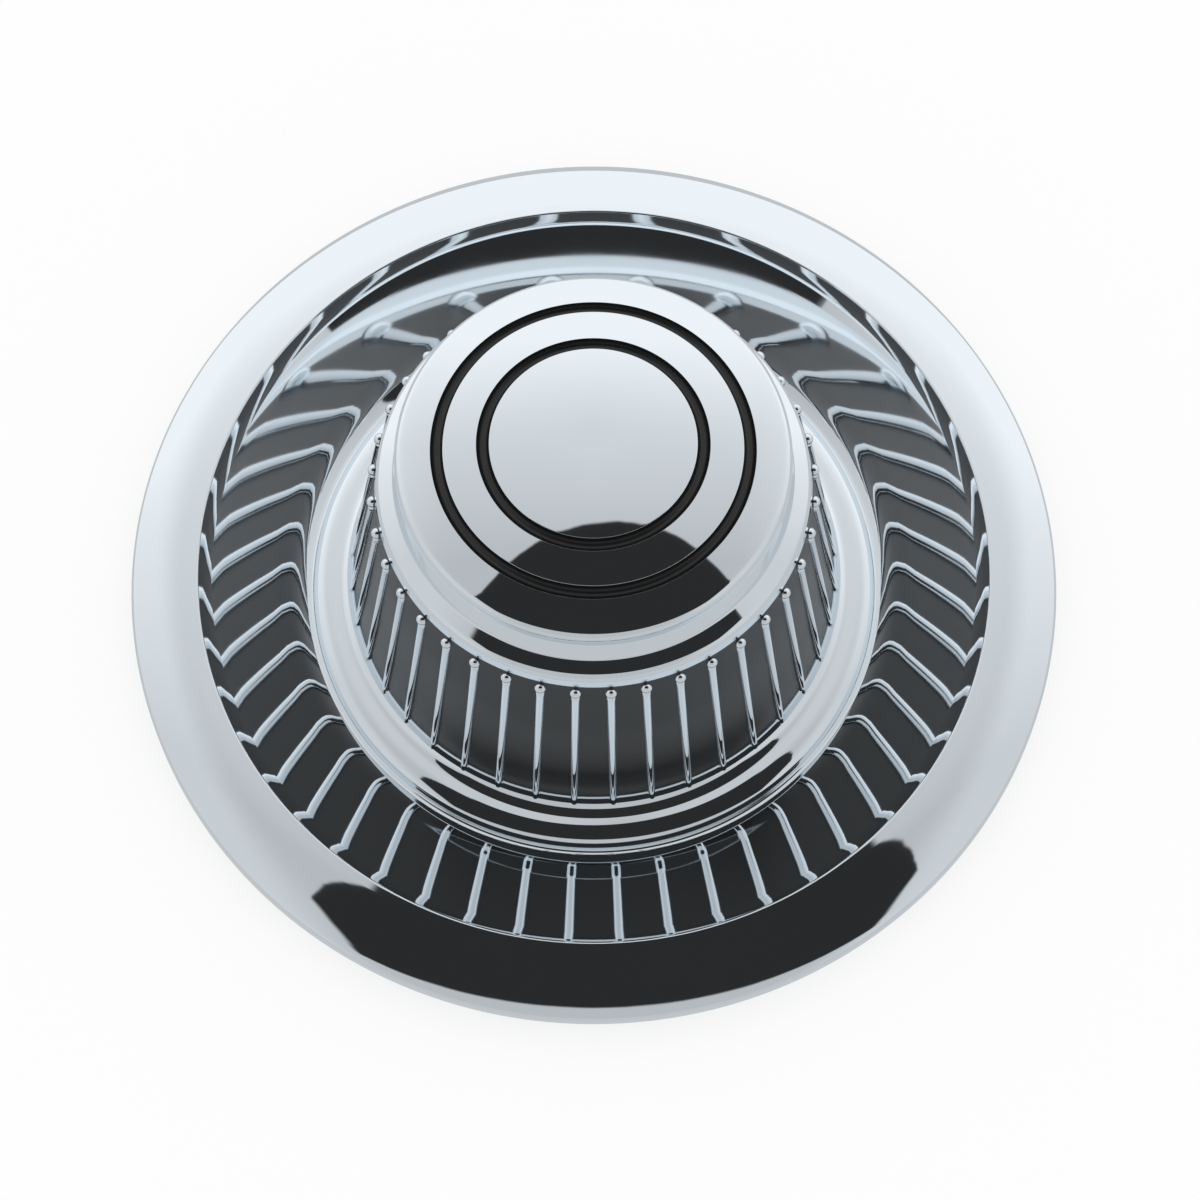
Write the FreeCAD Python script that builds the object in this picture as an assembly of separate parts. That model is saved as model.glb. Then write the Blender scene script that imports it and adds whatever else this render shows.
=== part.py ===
"""Chrome wheel centre cap: one pressed sheet with a broad brim, a dished trough, a ribbed drum and a
domed disc. Millimetres, +Z up. The cap lies face up on the underside of its trough, at z = 0.
Slopes are in degrees below level, going outwards from the axis."""
import FreeCAD, Part
import os
from math import cos, hypot, radians, sqrt, tan

# Sheet
SHEET = 1.0

# Drum, with ribs that end in round beads
DRUM_FOOT_RADIUS = 55.0
DRUM_FOOT_ROUND = 4.2
DRUM_HEIGHT = 54.0
DRUM_DRAFT = 9.29
DRUM_TOP_ROUND = 2.4
RIB_COUNT = 40
RIB_TOP_WIDTH = 1.9
RIB_FOOT_WIDTH = 1.8
BEAD_DIAMETER = 2.5
BEAD_BELOW_TOP = 5.0
BEAD_PROUD = 0.3

# Shoulder and neck above the drum
SHOULDER_WIDTH = 3.6
SHOULDER_RISE = 2.0
NECK_FOOT_ROUND = 0.6
NECK_TAPER = 1.5
NECK_HEIGHT = 4.6
NECK_TOP_ROUND = 0.5

# Disc, with half-round grooves set in from its edge
DISC_OVERHANG = 0.7
DISC_FLARE_HEIGHT = 1.6
DISC_FLARE_ROUND = 1.0
DISC_EDGE_HEIGHT = 5.2
DISC_EDGE_ROUND = 2.4
DISC_EDGE_SLOPE = 19.0
DISC_DOME_RISE = 6.8
GROOVE_INSETS = (9.1, 18.8)
GROOVE_WIDTH = 2.7

# Raised ring at the foot of the drum: a sloping ledge, a crease and a round-edged band
RING_HEIGHT = 4.4
RING_LEDGE_WIDTH = 5.0
RING_LEDGE_SLOPE = 5.0
RING_CREASE_ROUND = 0.6
RING_BAND_WIDTH = 4.3
RING_BAND_SLOPE = 8.0
RING_EDGE_ROUND = 8.5
RING_ROLL_SLOPE = 38.0
RING_LIP_HEIGHT = 2.8
RING_LIP_ROUND = 0.8
RING_WALL_SLOPE = 80.0

# Trough and dish
TROUGH_WIDTH = 1.6
TROUGH_ROUND = 0.8
DISH_FOOT_WIDTH = 1.6
DISH_FOOT_SLOPE = 16.0
DISH_FOOT_ROUND = 22.0
DISH_WIDTH = 21.8
DISH_LIP_WIDTH = 1.4
DISH_LIP_SLOPE = 45.0
DISH_LIP_ROUND = 16.0

# Brim, from its crest out to the turned-down edge
CREST_HEIGHT = 13.4
CREST_ROUND = 0.8
BRIM_WIDTH = 15.7
BRIM_FALL = 5.8
BRIM_CREST_SLOPE = 9.0
BRIM_CROWN = 36.0
BRIM_EDGE_SLOPE = 33.0
BRIM_EDGE_ROUND = 2.0
BRIM_EDGE_DROP = 3.0

ORIGIN = FreeCAD.Vector(0, 0, 0)
UP = FreeCAD.Vector(0, 0, 1)


def on_slope(start, slope, radius):
    """Point at a radius on the line through start that has a slope."""
    return radius, start[1] - (radius - start[0]) * tan(radians(slope))


def meet(first, first_slope, second, second_slope):
    """Point where two lines cross, each given by a point and its slope."""
    fall_1 = tan(radians(first_slope))
    fall_2 = tan(radians(second_slope))
    rise = first[1] - second[1] + fall_1 * first[0] - fall_2 * second[0]
    return on_slope(first, first_slope, rise / (fall_1 - fall_2))


# Corners of the visible face as (radius, height), before they are rounded
RING_CREASE = (DRUM_FOOT_RADIUS + RING_LEDGE_WIDTH, SHEET + RING_HEIGHT)
DRUM_FOOT = on_slope(RING_CREASE, RING_LEDGE_SLOPE, DRUM_FOOT_RADIUS)
DRUM_TOP = (DRUM_FOOT[0] - DRUM_HEIGHT * tan(radians(DRUM_DRAFT)), DRUM_FOOT[1] + DRUM_HEIGHT)
NECK_FOOT = (DRUM_TOP[0] - SHOULDER_WIDTH, DRUM_TOP[1] + SHOULDER_RISE)
NECK_TOP = (NECK_FOOT[0] - NECK_TAPER, NECK_FOOT[1] + NECK_HEIGHT)
DISC_FLARE = (NECK_TOP[0] + DISC_OVERHANG, NECK_TOP[1] + DISC_FLARE_HEIGHT)
DISC_EDGE = (DISC_FLARE[0], NECK_TOP[1] + DISC_EDGE_HEIGHT)
DOME = (DISC_EDGE[0] - DISC_DOME_RISE / tan(radians(DISC_EDGE_SLOPE)), DISC_EDGE[1] + DISC_DOME_RISE)
DISC_TOP = (0.0, DOME[1])
RING_FOOT = (RING_CREASE[0] + RING_BAND_WIDTH, SHEET)
RING_LIP = (RING_FOOT[0] - RING_LIP_HEIGHT / tan(radians(RING_WALL_SLOPE)), SHEET + RING_LIP_HEIGHT)
RING_EDGE = meet(RING_LIP, RING_ROLL_SLOPE, RING_CREASE, RING_BAND_SLOPE)
TROUGH = (RING_FOOT[0] + TROUGH_WIDTH, SHEET)
DISH_FOOT = on_slope(TROUGH, -DISH_FOOT_SLOPE, TROUGH[0] + DISH_FOOT_WIDTH)
CREST = (DISH_FOOT[0] + DISH_WIDTH, SHEET + CREST_HEIGHT)
DISH_LIP = on_slope(CREST, -DISH_LIP_SLOPE, CREST[0] - DISH_LIP_WIDTH)
BRIM_EDGE = (CREST[0] + BRIM_WIDTH, CREST[1] - BRIM_FALL)
BRIM = meet(BRIM_EDGE, BRIM_EDGE_SLOPE, CREST, BRIM_CREST_SLOPE)
BRIM_FOOT = (BRIM_EDGE[0], BRIM_EDGE[1] - BRIM_EDGE_DROP)

# Radius of the dome's arc, which starts level on the axis and ends at the disc edge's slope
DOME_CROWN = DOME[0] / tan(radians(DISC_EDGE_SLOPE) / 2)

# The face from the foot of the brim's edge in to the axis, as (corner, round)
FACE = [
    (BRIM_FOOT, 0.0),
    (BRIM_EDGE, BRIM_EDGE_ROUND),
    (BRIM, BRIM_CROWN),
    (CREST, CREST_ROUND),
    (DISH_LIP, DISH_LIP_ROUND),
    (DISH_FOOT, DISH_FOOT_ROUND),
    (TROUGH, TROUGH_ROUND),
    (RING_FOOT, TROUGH_ROUND),
    (RING_LIP, RING_LIP_ROUND),
    (RING_EDGE, RING_EDGE_ROUND),
    (RING_CREASE, RING_CREASE_ROUND),
    (DRUM_FOOT, DRUM_FOOT_ROUND),
    (DRUM_TOP, DRUM_TOP_ROUND),
    (NECK_FOOT, NECK_FOOT_ROUND),
    (NECK_TOP, NECK_TOP_ROUND),
    (DISC_FLARE, DISC_FLARE_ROUND),
    (DISC_EDGE, DISC_EDGE_ROUND),
    (DOME, DOME_CROWN),
    (DISC_TOP, 0.0),
]


def place(corner):
    """Corner as a point of the section plane."""
    return FreeCAD.Vector(corner[0], 0, corner[1])


def turn_at(before, corner, after):
    """Turn in radians at a corner of a path, positive towards the back of the sheet."""
    run_in = place(corner) - place(before)
    run_out = place(after) - place(corner)
    turn = run_in.getAngle(run_out)
    return -turn if run_in.cross(run_out).y > 0 else turn


def back_of(path):
    """The path one sheet in, with each round kept parallel to the face's own."""
    corners = [corner for corner, _ in path]
    inwards = []
    for start, end in zip(corners, corners[1:]):
        length = hypot(end[0] - start[0], end[1] - start[1])
        inwards.append(((start[1] - end[1]) / length, (end[0] - start[0]) / length))
    back = []
    for i, (corner, face_round) in enumerate(path):
        before = inwards[max(i - 1, 0)]
        after = inwards[min(i, len(inwards) - 1)]
        mean = ((before[0] + after[0]) / 2, (before[1] + after[1]) / 2)
        reach = SHEET / (mean[0] ** 2 + mean[1] ** 2)
        back_round = 0.0
        if face_round > 0:
            turns_back = turn_at(*corners[i - 1:i + 2]) > 0
            back_round = max(face_round - SHEET, 0.0) if turns_back else face_round + SHEET
        back.append(((corner[0] + mean[0] * reach, corner[1] + mean[1] * reach), back_round))
    return back


def rounded_edges(path):
    """Lines and tangent arcs along a path, each round held back to the runs beside it."""
    corners = [corner for corner, _ in path]
    half_turns = [0.0] * len(path)
    reaches = [0.0] * len(path)
    for i in range(1, len(path) - 1):
        half_turns[i] = abs(turn_at(*corners[i - 1:i + 2])) / 2
        reaches[i] = path[i][1] * tan(half_turns[i])
    room = []
    for i in range(len(path) - 1):
        wanted = reaches[i] + reaches[i + 1]
        run = (place(corners[i + 1]) - place(corners[i])).Length
        room.append(min(1.0, run / wanted) if wanted > 0 else 1.0)
    edges = []
    last = place(corners[0])
    for i in range(1, len(path)):
        point = place(corners[i])
        start = end = point
        if reaches[i] > 0:
            reach = reaches[i] * min(room[i - 1], room[i])
            start = point + (place(corners[i - 1]) - point).normalize() * reach
            end = point + (place(corners[i + 1]) - point).normalize() * reach
            radius = reach / tan(half_turns[i])
            inward = ((start + end) * 0.5 - point).normalize()
            middle = point + inward * (radius / cos(half_turns[i]) - radius)
        if not start.isEqual(last, 1e-6):
            edges.append(Part.LineSegment(last, start).toShape())
        if reaches[i] > 0:
            edges.append(Part.Arc(start, middle, end).toShape())
        last = end
    return edges


def turned_sheet():
    """Sheet of revolution between the face and its back."""
    face = rounded_edges(FACE)
    back = rounded_edges(back_of(FACE))
    rim = Part.LineSegment(face[0].Vertexes[0].Point, back[0].Vertexes[0].Point)
    centre = Part.LineSegment(face[-1].Vertexes[-1].Point, back[-1].Vertexes[-1].Point)
    edges = face + back + [rim.toShape(), centre.toShape()]
    section = Part.Face(Part.Wire(Part.__sortEdges__(edges)))
    return section.revolve(ORIGIN, UP, 360)


def press_groove(sheet, inset):
    """Press a half-round groove into the dome, with its ridge on the back."""
    radius = DISC_EDGE[0] - inset
    centre = UP * (DOME[1] - DOME_CROWN)
    middle = centre + UP * sqrt(DOME_CROWN ** 2 - radius ** 2)
    ridge = Part.makeTorus(radius, GROOVE_WIDTH / 2 + SHEET, middle)
    ridge = ridge.common(Part.makeSphere(DOME_CROWN, centre))
    return sheet.fuse(ridge).cut(Part.makeTorus(radius, GROOVE_WIDTH / 2, middle))


def drum_ribs():
    """Tapered ribs along the drum's wall with their beads, half a pitch to each side of the front."""
    foot = place(DRUM_FOOT)
    wall = place(DRUM_TOP) - foot
    length = wall.Length * (1 - BEAD_BELOW_TOP / DRUM_HEIGHT)
    bead = foot + wall.normalize() * length + FreeCAD.Vector(BEAD_PROUD, 0, 0)
    rib = Part.makeCone(RIB_FOOT_WIDTH / 2, RIB_TOP_WIDTH / 2, length, foot, wall)
    ball = Part.makeSphere(BEAD_DIAMETER / 2, bead)
    pitch = 360 / RIB_COUNT
    ribs = []
    for i in range(RIB_COUNT):
        angle = -90 + (i + 0.5) * pitch
        ribs += [shape.rotated(ORIGIN, UP, angle) for shape in (rib, ball)]
    return ribs


def cap_shell():
    """The pressed sheet with its grooves and ribs."""
    sheet = turned_sheet()
    for inset in GROOVE_INSETS:
        sheet = press_groove(sheet, inset)
    return sheet.multiFuse(drum_ribs())


os.makedirs("parts", exist_ok=True)
shell = cap_shell()
shell.exportStep("parts/cap_shell.step")
print("cap_shell", shell.isValid(), len(shell.Solids), "solid,", round(shell.Volume), "mm3")
print("box", shell.optimalBoundingBox())
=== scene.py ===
from math import atan2, ceil, cos, degrees, hypot, pi, radians, sin, sqrt, tan

import bpy
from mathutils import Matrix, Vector


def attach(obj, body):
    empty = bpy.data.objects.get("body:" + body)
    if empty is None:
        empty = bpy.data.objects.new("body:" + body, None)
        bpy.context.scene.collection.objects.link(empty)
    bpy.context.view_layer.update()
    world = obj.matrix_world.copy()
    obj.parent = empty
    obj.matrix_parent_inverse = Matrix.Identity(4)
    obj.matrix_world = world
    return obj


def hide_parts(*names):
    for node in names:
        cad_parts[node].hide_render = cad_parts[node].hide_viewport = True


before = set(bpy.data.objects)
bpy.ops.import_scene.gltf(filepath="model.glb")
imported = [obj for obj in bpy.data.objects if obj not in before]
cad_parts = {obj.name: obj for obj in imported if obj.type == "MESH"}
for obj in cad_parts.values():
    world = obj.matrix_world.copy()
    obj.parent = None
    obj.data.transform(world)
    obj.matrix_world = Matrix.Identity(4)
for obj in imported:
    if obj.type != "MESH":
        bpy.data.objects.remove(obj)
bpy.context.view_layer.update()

MM = 0.001

# Sizes in millimetres and degrees, as in the part's source
SHEET = 1.0
DRUM_FOOT_RADIUS = 55.0
DRUM_FOOT_ROUND = 4.2
DRUM_HEIGHT = 54.0
DRUM_DRAFT = 9.29
DRUM_TOP_ROUND = 2.4
RIB_COUNT = 40
RIB_TOP_WIDTH = 1.9
RIB_FOOT_WIDTH = 1.8
BEAD_DIAMETER = 2.5
BEAD_BELOW_TOP = 5.0
BEAD_PROUD = 0.3
SHOULDER_WIDTH = 3.6
SHOULDER_RISE = 2.0
NECK_FOOT_ROUND = 0.6
NECK_TAPER = 1.5
NECK_HEIGHT = 4.6
NECK_TOP_ROUND = 0.5
DISC_OVERHANG = 0.7
DISC_FLARE_HEIGHT = 1.6
DISC_FLARE_ROUND = 1.0
DISC_EDGE_HEIGHT = 5.2
DISC_EDGE_ROUND = 2.4
DISC_EDGE_SLOPE = 19.0
DISC_DOME_RISE = 6.8
GROOVE_INSETS = (9.1, 18.8)
GROOVE_WIDTH = 2.7
RING_HEIGHT = 4.4
RING_LEDGE_WIDTH = 5.0
RING_LEDGE_SLOPE = 5.0
RING_CREASE_ROUND = 0.6
RING_BAND_WIDTH = 4.3
RING_BAND_SLOPE = 8.0
RING_EDGE_ROUND = 8.5
RING_ROLL_SLOPE = 38.0
RING_LIP_HEIGHT = 2.8
RING_LIP_ROUND = 0.8
RING_WALL_SLOPE = 80.0
TROUGH_ROUND = 0.8
CREST_HEIGHT = 13.4
CREST_ROUND = 0.8
BRIM_WIDTH = 15.7
BRIM_FALL = 5.8
BRIM_CREST_SLOPE = 9.0
BRIM_CROWN = 36.0
BRIM_EDGE_SLOPE = 33.0
BRIM_EDGE_ROUND = 2.0
BRIM_EDGE_DROP = 3.0

# The dish, which bows a little below the source's straight one, to mirror the ribs as photographed
TROUGH_WIDTH = 1.2
DISH_FOOT_WIDTH = 1.8
DISH_FOOT_SLOPE = 14.0
DISH_FOOT_ROUND = 22.0
DISH_HEEL_WIDTH = 2.7
DISH_HEEL_SLOPE = 26.0
DISH_HEEL_ROUND = 100.0
DISH_BOW_WIDTH = 8.8
DISH_BOW_SLOPE = 28.2
DISH_BOW_ROUND = 220.0
DISH_WIDTH = 22.0
DISH_LIP_WIDTH = 1.4
DISH_LIP_SLOPE = 45.0
DISH_LIP_ROUND = 16.0

# How finely the meshes follow the forms, in millimetres and radians
LATHE_SEGMENTS = 200
FACE_STEP = 1.1
BACK_STEP = 3.0
ARC_STEP = radians(7.5)
BACK_ARC_STEP = radians(18)
EDGE_SUPPORT = 0.15
NO_LENGTH = 1e-6
HALVINGS = 40
SEAM_DISTANCE = 1e-6
RIB_SIDES = 24
RIB_STEPS = 16
BEAD_SEGMENTS = 28
BEAD_RINGS = 18

# Plating and paint. The paint lies in the grooves and on the panels between the ribs.
CHROME = (0.83, 0.895, 0.945, 1.0)
CHROME_ROUGHNESS = 0.03
HAZE_SCALE = 60.0
HAZE_DETAIL = 4.0
HAZE_DEPTH = 0.03
PAINT = (0.007, 0.0075, 0.008, 1.0)
PAINT_ROUGHNESS = 0.32
PAINT_SHEEN = 0.55
PANEL_ABOVE_FOOT = 3.0
PANEL_BELOW_TOP = 3.2
PANEL_REACH = 1.5
PANEL_END_BLUR = 0.15
PANEL_WALL_BLUR = 0.05
PANEL_REACH_BLUR = 0.5
GROOVE_PAINT_MARGIN = 0.04
GROOVE_PAINT_BLUR = 0.02

# Table: how much of what the camera sees is its own white, and how bright it is in the metal
WHITE = (1.0, 1.0, 1.0, 1.0)
TABLE_COLOUR = (0.97, 0.97, 0.97, 1.0)
TABLE_GLOW = 0.75
TABLE_IN_METAL = 0.6
TABLE_HALF = 3.0

# Room in the metal, as grey levels: plain, lighter to the back, over the backdrop and to the sides
ROOM_GREY = 0.545
ROOM_BACK = 0.44
BACKDROP_GREY = 0.12
BACKDROP_START = 0.6
BACKDROP_BLUR = 0.2
ROOM_SIDES = 0.14
SIDES_START = 39.0
SIDES_BLUR = 11.0

# Dark screen over the cap on the camera's side, in degrees from straight up
SCREEN_GREY = 0.025
SCREEN_OFF_CENTRE = 3.9
SCREEN_TOP = -8.2
SCREEN_TOP_BLUR = 0.4
SCREEN_ROUNDNESS = 0.021
SCREEN_LOW = 45.0
SCREEN_SIDE = 38.0
SCREEN_BLUR = 1.0
SCREEN_WAVER = 1.2
WAVER_SCALE = 9.0
WAVER_DETAIL = 2.0

# Camera, from the fit of the photographed ellipses
LENS = 95.5
SENSOR = 36.0
CAMERA_ELEVATION = 67.8
CAMERA_DISTANCE = 740.0
LOOK_AT = (1.39, 0.0, -9.7)


def on_slope(start, slope, radius):
    """Point at a radius on the line through start that falls outwards at a slope."""
    return radius, start[1] - (radius - start[0]) * tan(radians(slope))


def meet(first, first_slope, second, second_slope):
    """Point where two lines cross, each given by a point and its slope."""
    first_fall = tan(radians(first_slope))
    second_fall = tan(radians(second_slope))
    rise = first[1] - second[1] + first_fall * first[0] - second_fall * second[0]
    return on_slope(first, first_slope, rise / (first_fall - second_fall))


# Corners of the face as (radius, height)
RING_CREASE = (DRUM_FOOT_RADIUS + RING_LEDGE_WIDTH, SHEET + RING_HEIGHT)
DRUM_FOOT = on_slope(RING_CREASE, RING_LEDGE_SLOPE, DRUM_FOOT_RADIUS)
DRUM_TOP = (DRUM_FOOT[0] - DRUM_HEIGHT * tan(radians(DRUM_DRAFT)), DRUM_FOOT[1] + DRUM_HEIGHT)
NECK_FOOT = (DRUM_TOP[0] - SHOULDER_WIDTH, DRUM_TOP[1] + SHOULDER_RISE)
NECK_TOP = (NECK_FOOT[0] - NECK_TAPER, NECK_FOOT[1] + NECK_HEIGHT)
DISC_FLARE = (NECK_TOP[0] + DISC_OVERHANG, NECK_TOP[1] + DISC_FLARE_HEIGHT)
DISC_EDGE = (DISC_FLARE[0], NECK_TOP[1] + DISC_EDGE_HEIGHT)
DOME = (DISC_EDGE[0] - DISC_DOME_RISE / tan(radians(DISC_EDGE_SLOPE)), DISC_EDGE[1] + DISC_DOME_RISE)
DOME_CROWN = DOME[0] / tan(radians(DISC_EDGE_SLOPE) / 2)
DISC_TOP = (0.0, DOME[1])
RING_FOOT = (RING_CREASE[0] + RING_BAND_WIDTH, SHEET)
RING_LIP = (RING_FOOT[0] - RING_LIP_HEIGHT / tan(radians(RING_WALL_SLOPE)), SHEET + RING_LIP_HEIGHT)
RING_EDGE = meet(RING_LIP, RING_ROLL_SLOPE, RING_CREASE, RING_BAND_SLOPE)
TROUGH = (RING_FOOT[0] + TROUGH_WIDTH, SHEET)
DISH_FOOT = on_slope(TROUGH, -DISH_FOOT_SLOPE, TROUGH[0] + DISH_FOOT_WIDTH)
DISH_HEEL = on_slope(DISH_FOOT, -DISH_HEEL_SLOPE, DISH_FOOT[0] + DISH_HEEL_WIDTH)
DISH_BOW = on_slope(DISH_HEEL, -DISH_BOW_SLOPE, DISH_HEEL[0] + DISH_BOW_WIDTH)
CREST = (DISH_FOOT[0] + DISH_WIDTH, SHEET + CREST_HEIGHT)
DISH_LIP = on_slope(CREST, -DISH_LIP_SLOPE, CREST[0] - DISH_LIP_WIDTH)
BRIM_EDGE = (CREST[0] + BRIM_WIDTH, CREST[1] - BRIM_FALL)
BRIM = meet(BRIM_EDGE, BRIM_EDGE_SLOPE, CREST, BRIM_CREST_SLOPE)
BRIM_FOOT = (BRIM_EDGE[0], BRIM_EDGE[1] - BRIM_EDGE_DROP)

# The face from the axis out to the foot of the brim's edge, as (corner, round)
FACE = [
    (DISC_TOP, 0.0),
    (DOME, DOME_CROWN),
    (DISC_EDGE, DISC_EDGE_ROUND),
    (DISC_FLARE, DISC_FLARE_ROUND),
    (NECK_TOP, NECK_TOP_ROUND),
    (NECK_FOOT, NECK_FOOT_ROUND),
    (DRUM_TOP, DRUM_TOP_ROUND),
    (DRUM_FOOT, DRUM_FOOT_ROUND),
    (RING_CREASE, RING_CREASE_ROUND),
    (RING_EDGE, RING_EDGE_ROUND),
    (RING_LIP, RING_LIP_ROUND),
    (RING_FOOT, TROUGH_ROUND),
    (TROUGH, TROUGH_ROUND),
    (DISH_FOOT, DISH_FOOT_ROUND),
    (DISH_HEEL, DISH_HEEL_ROUND),
    (DISH_BOW, DISH_BOW_ROUND),
    (DISH_LIP, DISH_LIP_ROUND),
    (CREST, CREST_ROUND),
    (BRIM, BRIM_CROWN),
    (BRIM_EDGE, BRIM_EDGE_ROUND),
    (BRIM_FOOT, 0.0),
]


def apart(first, second):
    """Distance between two points of the section."""
    return hypot(second[0] - first[0], second[1] - first[1])


def between(start, end, share):
    """Point at a share of the way from start to end."""
    return start[0] + (end[0] - start[0]) * share, start[1] + (end[1] - start[1]) * share


def turn_at(before, corner, after):
    """Signed turn at a corner of a path, positive to the right, which is the back of the sheet."""
    ax, ay = corner[0] - before[0], corner[1] - before[1]
    bx, by = after[0] - corner[0], after[1] - corner[1]
    return -atan2(ax * by - ay * bx, ax * bx + ay * by)


def back_of(path):
    """The path one sheet in, with each round kept parallel to the face's own."""
    corners = [corner for corner, _ in path]
    inwards = []
    for start, end in zip(corners, corners[1:]):
        length = apart(start, end)
        inwards.append(((end[1] - start[1]) / length, (start[0] - end[0]) / length))
    back = []
    for i, (corner, face_round) in enumerate(path):
        mean = between(inwards[max(i - 1, 0)], inwards[min(i, len(inwards) - 1)], 0.5)
        reach = SHEET / (mean[0] ** 2 + mean[1] ** 2)
        back_round = 0.0
        if face_round > 0:
            turns_back = turn_at(*corners[i - 1:i + 2]) > 0
            back_round = max(face_round - SHEET, 0.0) if turns_back else face_round + SHEET
        back.append(((corner[0] + mean[0] * reach, corner[1] + mean[1] * reach), back_round))
    return back


def line_points(start, end, step):
    """Points after start up to end, close together near both ends so that smooth shading stays flat."""
    length = apart(start, end)
    if length < NO_LENGTH:
        return []
    support = min(EDGE_SUPPORT, length / 3)
    middle = length - 2 * support
    count = max(1, ceil(middle / step))
    along = [support + middle * i / count for i in range(count + 1)] + [length]
    return [between(start, end, distance / length) for distance in along]


def arc_points(centre, start, turn, step, arc_step):
    """Points after start along an arc that turns to the right where turn is positive."""
    radius = apart(centre, start)
    first = atan2(start[1] - centre[1], start[0] - centre[0])
    count = max(2, ceil(abs(turn) / arc_step), ceil(abs(turn) * radius / step))
    angles = [first - turn * i / count for i in range(1, count + 1)]
    return [(centre[0] + radius * cos(angle), centre[1] + radius * sin(angle)) for angle in angles]


def rounded_points(path, step, arc_step):
    """Points along lines and tangent arcs, each round held back to the runs beside it."""
    corners = [corner for corner, _ in path]
    turns = [0.0] * len(path)
    reaches = [0.0] * len(path)
    for i in range(1, len(path) - 1):
        turns[i] = turn_at(*corners[i - 1:i + 2])
        reaches[i] = path[i][1] * tan(abs(turns[i]) / 2)
    room = []
    for i in range(len(path) - 1):
        wanted = reaches[i] + reaches[i + 1]
        room.append(min(1.0, apart(corners[i], corners[i + 1]) / wanted) if wanted > 0 else 1.0)
    points = [corners[0]]
    for i in range(1, len(path)):
        if reaches[i] == 0:
            points += line_points(points[-1], corners[i], step)
            continue
        corner = Vector(corners[i])
        reach = reaches[i] * min(room[i - 1], room[i])
        start = corner + (Vector(corners[i - 1]) - corner).normalized() * reach
        end = corner + (Vector(corners[i + 1]) - corner).normalized() * reach
        inward = ((start + end) / 2 - corner).normalized()
        centre = corner + inward * (reach / sin(abs(turns[i]) / 2))
        points += line_points(points[-1], tuple(start), step)
        points += arc_points(tuple(centre), tuple(start), turns[i], step, arc_step)
    return points


def press_round(points, centre, radius, arc_step):
    """Replace what lies within a circle by the circle's arc on the back side of the path."""
    inside = [apart(centre, point) < radius for point in points]
    first = inside.index(True)
    last = len(points) - 1 - inside[::-1].index(True)

    def crossing(outer, inner):
        low, high = 0.0, 1.0
        for _ in range(HALVINGS):
            middle = (low + high) / 2
            if apart(centre, between(outer, inner, middle)) > radius:
                low = middle
            else:
                high = middle
        return between(outer, inner, low)

    enter = crossing(points[first - 1], points[first])
    leave = crossing(points[last + 1], points[last])
    angle_in = atan2(enter[1] - centre[1], enter[0] - centre[0])
    angle_out = atan2(leave[1] - centre[1], leave[0] - centre[0])
    sweep = (angle_out - angle_in) % (2 * pi)
    lead = line_points(points[first - 1], enter, FACE_STEP)
    arc = arc_points(centre, enter, -sweep, FACE_STEP, arc_step)
    trail = line_points(leave, points[last + 1], FACE_STEP)
    return points[:first] + lead + arc + trail + points[last + 2:]


def groove_centre(inset):
    """Middle of a groove's round on the dome's arc."""
    radius = DISC_EDGE[0] - inset
    return radius, DOME[1] - DOME_CROWN + sqrt(DOME_CROWN ** 2 - radius ** 2)


def section():
    """The closed section as (radius, height): the face outwards, then the back inwards."""
    face = rounded_points(FACE, FACE_STEP, ARC_STEP)
    back = rounded_points(back_of(FACE), BACK_STEP, BACK_ARC_STEP)
    for inset in GROOVE_INSETS:
        face = press_round(face, groove_centre(inset), GROOVE_WIDTH / 2, ARC_STEP)
        back = press_round(back, groove_centre(inset), GROOVE_WIDTH / 2 + SHEET, BACK_ARC_STEP)
    rim = line_points(face[-1], back[-1], FACE_STEP)
    return face + rim[:-1] + back[::-1]


class Socket:
    """An output socket of a node tree, with arithmetic that adds Math nodes."""

    def __init__(self, graph, socket):
        self.graph = graph
        self.socket = socket

    def math(self, operation, *others):
        return self.graph.maths(operation, self, *others)

    def __add__(self, other):
        return self.graph.maths("ADD", self, other)

    def __radd__(self, other):
        return self.graph.maths("ADD", other, self)

    def __sub__(self, other):
        return self.graph.maths("SUBTRACT", self, other)

    def __rsub__(self, other):
        return self.graph.maths("SUBTRACT", other, self)

    def __mul__(self, other):
        return self.graph.maths("MULTIPLY", self, other)

    def __rmul__(self, other):
        return self.graph.maths("MULTIPLY", other, self)

    def __truediv__(self, other):
        return self.graph.maths("DIVIDE", self, other)

    def __rtruediv__(self, other):
        return self.graph.maths("DIVIDE", other, self)


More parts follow.
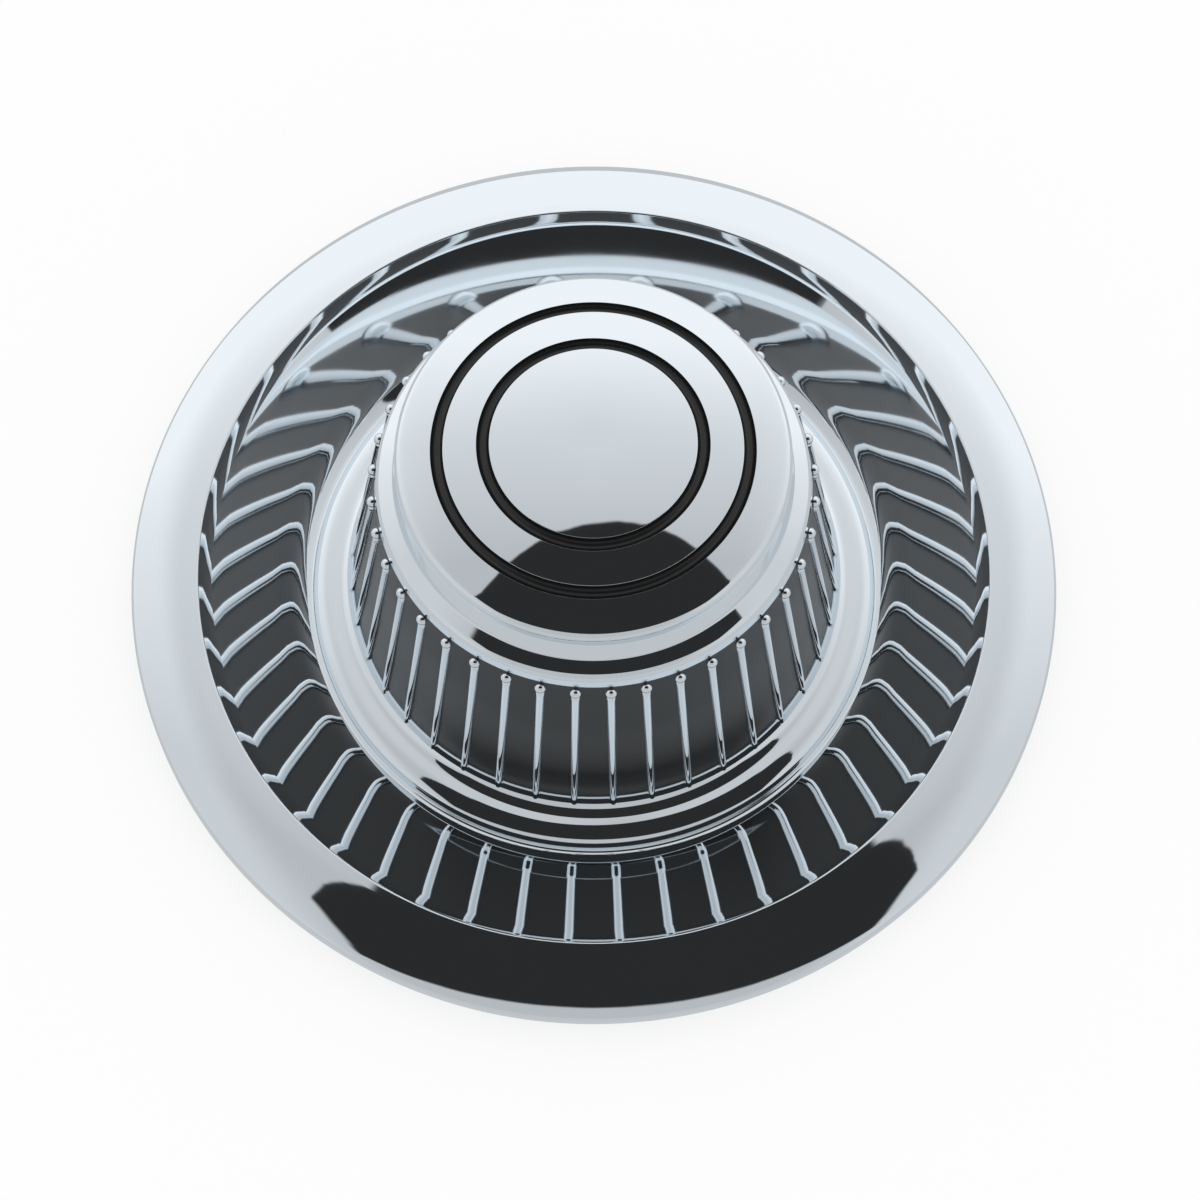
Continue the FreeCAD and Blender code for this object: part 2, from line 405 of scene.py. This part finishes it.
class Graph:
    """A node tree that is filled by one method."""

    def __init__(self, tree):
        self.tree = tree

    def node(self, kind, settings, sockets):
        """Add a node: its settings first, then the values or links of its sockets."""
        node = self.tree.nodes.new(kind)
        for name, value in settings.items():
            setattr(node, name, value)
        for key, value in sockets.items():
            socket = node.inputs[key] if isinstance(key, int) else self.named(node.inputs, key)
            for item in value if isinstance(value, list) else [value]:
                if isinstance(item, Socket):
                    self.tree.links.new(item.socket, socket)
                else:
                    socket.default_value = item
        return node

    def named(self, sockets, name):
        """The socket of a name that the node's settings leave in use."""
        return next(socket for socket in sockets if socket.name == name and socket.enabled)

    def out(self, node, name=None):
        """A node's output by name, or its first."""
        return Socket(self, self.named(node.outputs, name) if name else node.outputs[0])

    def maths(self, operation, *values):
        return self.out(self.node("ShaderNodeMath", {"operation": operation}, dict(enumerate(values))))

    def over(self, value, limit, blur):
        """Smooth step from 0 to 1 where a value passes a limit."""
        return self.out(self.node("ShaderNodeMapRange", {"interpolation_type": "SMOOTHSTEP"}, {
            "Value": value, "From Min": limit - blur, "From Max": limit + blur}))

    def axes(self, vector):
        """The three parts of a vector."""
        split = self.node("ShaderNodeSeparateXYZ", {}, {"Vector": vector})
        return [self.out(split, axis) for axis in "XYZ"]

    def noise(self, place, scale, detail):
        """Smooth noise about zero, half a unit each way at most."""
        return self.out(self.node("ShaderNodeTexNoise", {}, {
            "Vector": place, "Scale": scale, "Detail": detail})) - 0.5


def geometry_tree(name, inputs):
    """A Geometry Nodes tree with named inputs, given as (name, socket type)."""
    tree = bpy.data.node_groups.new(name, "GeometryNodeTree")
    tree.interface.new_socket("Geometry", in_out="INPUT", socket_type="NodeSocketGeometry")
    tree.interface.new_socket("Geometry", in_out="OUTPUT", socket_type="NodeSocketGeometry")
    for label, kind in inputs:
        tree.interface.new_socket(label, in_out="INPUT", socket_type=kind)
    graph = Graph(tree)
    entry = graph.node("NodeGroupInput", {}, {})
    return graph, {socket.name: Socket(graph, socket) for socket in entry.outputs if socket.name}


def close_tree(graph, geometry, material):
    """End a tree in Realize Instances, smooth shading and Set Material."""
    realized = graph.out(graph.node("GeometryNodeRealizeInstances", {}, {"Geometry": geometry}))
    smooth = graph.out(graph.node("GeometryNodeSetShadeSmooth", {}, {"Geometry": realized}))
    final = graph.out(graph.node("GeometryNodeSetMaterial", {}, {"Geometry": smooth, "Material": material}))
    graph.node("NodeGroupOutput", {}, {"Geometry": final})


def plain_mesh(name, points, graph, values):
    """Run a tree on a set of points and keep the result as a plain mesh object."""
    mesh = bpy.data.meshes.new(name + "_points")
    mesh.from_pydata(points, [], [])
    source = bpy.data.objects.new(name + "_source", mesh)
    bpy.context.scene.collection.objects.link(source)
    modifier = source.modifiers.new("build", "NODES")
    modifier.node_group = graph.tree
    for item in graph.tree.interface.items_tree:
        if item.in_out == "INPUT" and item.name in values:
            modifier[item.identifier] = values[item.name]
    depsgraph = bpy.context.evaluated_depsgraph_get()
    built = bpy.data.meshes.new_from_object(source.evaluated_get(depsgraph), depsgraph=depsgraph)
    built.name = name
    piece = bpy.data.objects.new(name, built)
    bpy.context.scene.collection.objects.link(piece)
    bpy.data.objects.remove(source)
    return piece


def lathe_tree():
    """Turn a row of section points about Z."""
    graph, given = geometry_tree("lathe", [
        ("Segments", "NodeSocketInt"), ("Material", "NodeSocketMaterial")])
    size = graph.node("GeometryNodeAttributeDomainSize", {"component": "MESH"}, {
        "Geometry": given["Geometry"]})
    columns = given["Segments"] + 1
    grid = graph.out(graph.node("GeometryNodeMeshGrid", {}, {
        "Vertices X": graph.out(size, "Point Count"), "Vertices Y": columns}))
    index = graph.out(graph.node("GeometryNodeInputIndex", {}, {}))
    row = ((index + 0.5) / columns).math("FLOOR")
    column = index - row * columns
    position = graph.out(graph.node("GeometryNodeInputPosition", {}, {}))
    sampled = graph.out(graph.node("GeometryNodeSampleIndex", {
        "data_type": "FLOAT_VECTOR", "domain": "POINT"}, {
        "Geometry": given["Geometry"], "Value": position, "Index": row}))
    radius, _, height = graph.axes(sampled)
    angle = column * (2 * pi) / given["Segments"]
    turned = graph.out(graph.node("ShaderNodeCombineXYZ", {}, {
        "X": radius * angle.math("COSINE"), "Y": radius * angle.math("SINE"), "Z": height}))
    placed = graph.out(graph.node("GeometryNodeSetPosition", {}, {"Geometry": grid, "Position": turned}))
    merged = graph.out(graph.node("GeometryNodeMergeByDistance", {}, {
        "Geometry": placed, "Distance": SEAM_DISTANCE}))
    close_tree(graph, merged, given["Material"])
    return graph


def rib_tree():
    """One tapered rib with its bead, repeated around Z."""
    graph, given = geometry_tree("ribs", [
        ("Count", "NodeSocketInt"), ("Foot Radius", "NodeSocketFloat"), ("Top Radius", "NodeSocketFloat"),
        ("Bead Radius", "NodeSocketFloat"), ("Length", "NodeSocketFloat"), ("Lean", "NodeSocketFloat"),
        ("Foot", "NodeSocketVector"), ("Bead", "NodeSocketVector"), ("Material", "NodeSocketMaterial")])
    cone = graph.out(graph.node("GeometryNodeMeshCone", {"fill_type": "NGON"}, {
        "Vertices": RIB_SIDES, "Side Segments": RIB_STEPS, "Radius Top": given["Top Radius"],
        "Radius Bottom": given["Foot Radius"], "Depth": given["Length"]}))
    tilt = graph.out(graph.node("ShaderNodeCombineXYZ", {}, {"Y": 0 - given["Lean"]}))
    rib = graph.out(graph.node("GeometryNodeTransform", {}, {
        "Geometry": cone, "Translation": given["Foot"], "Rotation": tilt}))
    ball = graph.out(graph.node("GeometryNodeMeshUVSphere", {}, {
        "Segments": BEAD_SEGMENTS, "Rings": BEAD_RINGS, "Radius": given["Bead Radius"]}))
    bead = graph.out(graph.node("GeometryNodeTransform", {}, {
        "Geometry": ball, "Translation": given["Bead"], "Rotation": tilt}))
    both = graph.out(graph.node("GeometryNodeJoinGeometry", {}, {"Geometry": [bead, rib]}))
    points = graph.out(graph.node("GeometryNodePoints", {}, {"Count": given["Count"]}))
    index = graph.out(graph.node("GeometryNodeInputIndex", {}, {}))
    angle = (index + 0.5) / given["Count"] * (2 * pi) - pi / 2
    spin = graph.out(graph.node("ShaderNodeCombineXYZ", {}, {"Z": angle}))
    instances = graph.out(graph.node("GeometryNodeInstanceOnPoints", {}, {
        "Points": points, "Instance": both, "Rotation": spin}))
    close_tree(graph, instances, given["Material"])
    return graph


def new_material(name):
    """An empty material and its graph."""
    material = bpy.data.materials.new(name)
    material.use_nodes = True
    material.node_tree.nodes.clear()
    return material, Graph(material.node_tree)


def paint_mask(graph, place):
    """1 in the grooves and on the outer face of the drum's panels, 0 elsewhere."""
    x, y, z = (part / MM for part in graph.axes(place))
    radius = (x * x + y * y).math("SQRT")
    mid_wall = DRUM_FOOT[0] - SHEET / 2 - (z - DRUM_FOOT[1]) * tan(radians(DRUM_DRAFT))
    mask = graph.over(z, DRUM_FOOT[1] + PANEL_ABOVE_FOOT, PANEL_END_BLUR)
    mask = mask * (1 - graph.over(z, DRUM_TOP[1] - PANEL_BELOW_TOP, PANEL_END_BLUR))
    mask = mask * graph.over(radius - mid_wall, 0.0, PANEL_WALL_BLUR)
    mask = mask * (1 - graph.over(radius, DRUM_FOOT_RADIUS + PANEL_REACH, PANEL_REACH_BLUR))
    for inset in GROOVE_INSETS:
        middle, height = groove_centre(inset)
        across = radius - middle
        above = z - height
        from_middle = (across * across + above * above).math("SQRT")
        mask = mask + 1 - graph.over(from_middle, GROOVE_WIDTH / 2 + GROOVE_PAINT_MARGIN, GROOVE_PAINT_BLUR)
    return mask.math("MINIMUM", 1.0)


def plating(name, painted):
    """Bright chrome with a faint polish haze, with or without the satin black paint."""
    material, graph = new_material(name)
    place = graph.out(graph.node("ShaderNodeTexCoord", {}, {}), "Object")
    roughness = CHROME_ROUGHNESS + graph.noise(place, HAZE_SCALE, HAZE_DETAIL) * HAZE_DEPTH
    sockets = {"Base Color": CHROME, "Metallic": 1.0, "Roughness": roughness}
    if painted:
        mask = paint_mask(graph, place)
        colour = graph.node("ShaderNodeMix", {"data_type": "RGBA"}, {"Factor": mask, "A": CHROME, "B": PAINT})
        sockets = {
            "Base Color": graph.out(colour, "Result"), "Metallic": 1 - mask,
            "Roughness": roughness + mask * (PAINT_ROUGHNESS - CHROME_ROUGHNESS),
            "Specular IOR Level": PAINT_SHEEN}
    surface = graph.out(graph.node("ShaderNodeBsdfPrincipled", {}, sockets))
    graph.node("ShaderNodeOutputMaterial", {}, {"Surface": surface})
    return material


def table_white():
    """White table that keeps a faint shadow and is a little darker in the metal."""
    material, graph = new_material("table")
    rays = graph.node("ShaderNodeLightPath", {}, {})
    in_metal = graph.out(rays, "Is Glossy Ray")
    own_light = (graph.out(rays, "Is Camera Ray") * TABLE_GLOW).math("MAXIMUM", in_metal)
    strength = 1 - in_metal * (1 - TABLE_IN_METAL)
    matt = graph.out(graph.node("ShaderNodeBsdfDiffuse", {}, {"Color": TABLE_COLOUR}))
    glow = graph.out(graph.node("ShaderNodeEmission", {}, {"Color": WHITE, "Strength": strength}))
    mixed = graph.out(graph.node("ShaderNodeMixShader", {}, {0: own_light, 1: matt, 2: glow}))
    graph.node("ShaderNodeOutputMaterial", {}, {"Surface": mixed})
    return material


def studio():
    """Soft white light all round, and for the metal a pale room with a dark screen."""
    world = bpy.data.worlds.new("studio")
    world.use_nodes = True
    world.node_tree.nodes.clear()
    bpy.context.scene.world = world
    graph = Graph(world.node_tree)
    direction = graph.out(graph.node("ShaderNodeTexCoord", {}, {}), "Generated")
    x, y, z = graph.axes(direction)
    waver = graph.noise(direction, WAVER_SCALE, WAVER_DETAIL) * SCREEN_WAVER
    aside = x.math("ARCSINE") * degrees(1)
    lean = (0 - y).math("ARCTAN2", z) * degrees(1) + waver
    spread = (aside - SCREEN_OFF_CENTRE).math("ABSOLUTE")
    screen = graph.over(lean - spread * spread * SCREEN_ROUNDNESS, SCREEN_TOP, SCREEN_TOP_BLUR)
    screen = screen * (1 - graph.over(lean, SCREEN_LOW, SCREEN_BLUR))
    screen = screen * (1 - graph.over(spread + waver, SCREEN_SIDE, SCREEN_BLUR))
    room = ROOM_GREY + y.math("MAXIMUM", 0.0) * ROOM_BACK
    room = room + graph.over(y, BACKDROP_START, BACKDROP_BLUR) * BACKDROP_GREY
    room = room + graph.over(aside.math("ABSOLUTE"), SIDES_START, SIDES_BLUR) * ROOM_SIDES
    grey = room.math("MINIMUM", 1.0) * (1 - screen) + screen * SCREEN_GREY
    in_metal = graph.out(graph.node("ShaderNodeLightPath", {}, {}), "Is Glossy Ray")
    strength = in_metal * grey + (1 - in_metal)
    back = graph.out(graph.node("ShaderNodeBackground", {}, {"Color": WHITE, "Strength": strength}))
    graph.node("ShaderNodeOutputWorld", {}, {"Surface": back})


# The sheet, turned from its section
sheet = plain_mesh("cap_sheet", [(r * MM, 0.0, z * MM) for r, z in section()], lathe_tree(), {
    "Segments": LATHE_SEGMENTS, "Material": plating("chrome_and_paint", True)})

# The ribs and their beads, on the slanted wall of the drum
rib_length = apart(DRUM_FOOT, DRUM_TOP) * (1 - BEAD_BELOW_TOP / DRUM_HEIGHT)
bead_radius = DRUM_FOOT[0] - rib_length * sin(radians(DRUM_DRAFT)) + BEAD_PROUD
bead_height = DRUM_FOOT[1] + rib_length * cos(radians(DRUM_DRAFT))
ribs = plain_mesh("cap_ribs", [(0.0, 0.0, 0.0)], rib_tree(), {
    "Count": RIB_COUNT, "Foot Radius": RIB_FOOT_WIDTH / 2 * MM, "Top Radius": RIB_TOP_WIDTH / 2 * MM,
    "Bead Radius": BEAD_DIAMETER / 2 * MM, "Length": rib_length * MM, "Lean": radians(DRUM_DRAFT),
    "Foot": (DRUM_FOOT[0] * MM, 0.0, DRUM_FOOT[1] * MM), "Bead": (bead_radius * MM, 0.0, bead_height * MM),
    "Material": plating("chrome", False)})

for piece in (sheet, ribs):
    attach(piece, "root")
    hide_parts("cap_shell")

# Table, light and camera
table_mesh = bpy.data.meshes.new("floor")
table_corners = [(-TABLE_HALF, -TABLE_HALF, 0), (TABLE_HALF, -TABLE_HALF, 0),
                 (TABLE_HALF, TABLE_HALF, 0), (-TABLE_HALF, TABLE_HALF, 0)]
table_mesh.from_pydata(table_corners, [], [(0, 1, 2, 3)])
table_mesh.materials.append(table_white())
floor = bpy.data.objects.new("floor", table_mesh)
bpy.context.scene.collection.objects.link(floor)

studio()

lens = bpy.data.cameras.new("camera")
lens.lens = LENS
lens.sensor_width = SENSOR
camera = bpy.data.objects.new("camera", lens)
bpy.context.scene.collection.objects.link(camera)
rise = radians(CAMERA_ELEVATION)
camera.location = (LOOK_AT[0] * MM, (LOOK_AT[1] - CAMERA_DISTANCE * cos(rise)) * MM,
                   (LOOK_AT[2] + CAMERA_DISTANCE * sin(rise)) * MM)
camera.rotation_euler = (pi / 2 - rise, 0.0, 0.0)
bpy.context.scene.camera = camera
bpy.context.scene.view_settings.view_transform = "Standard"
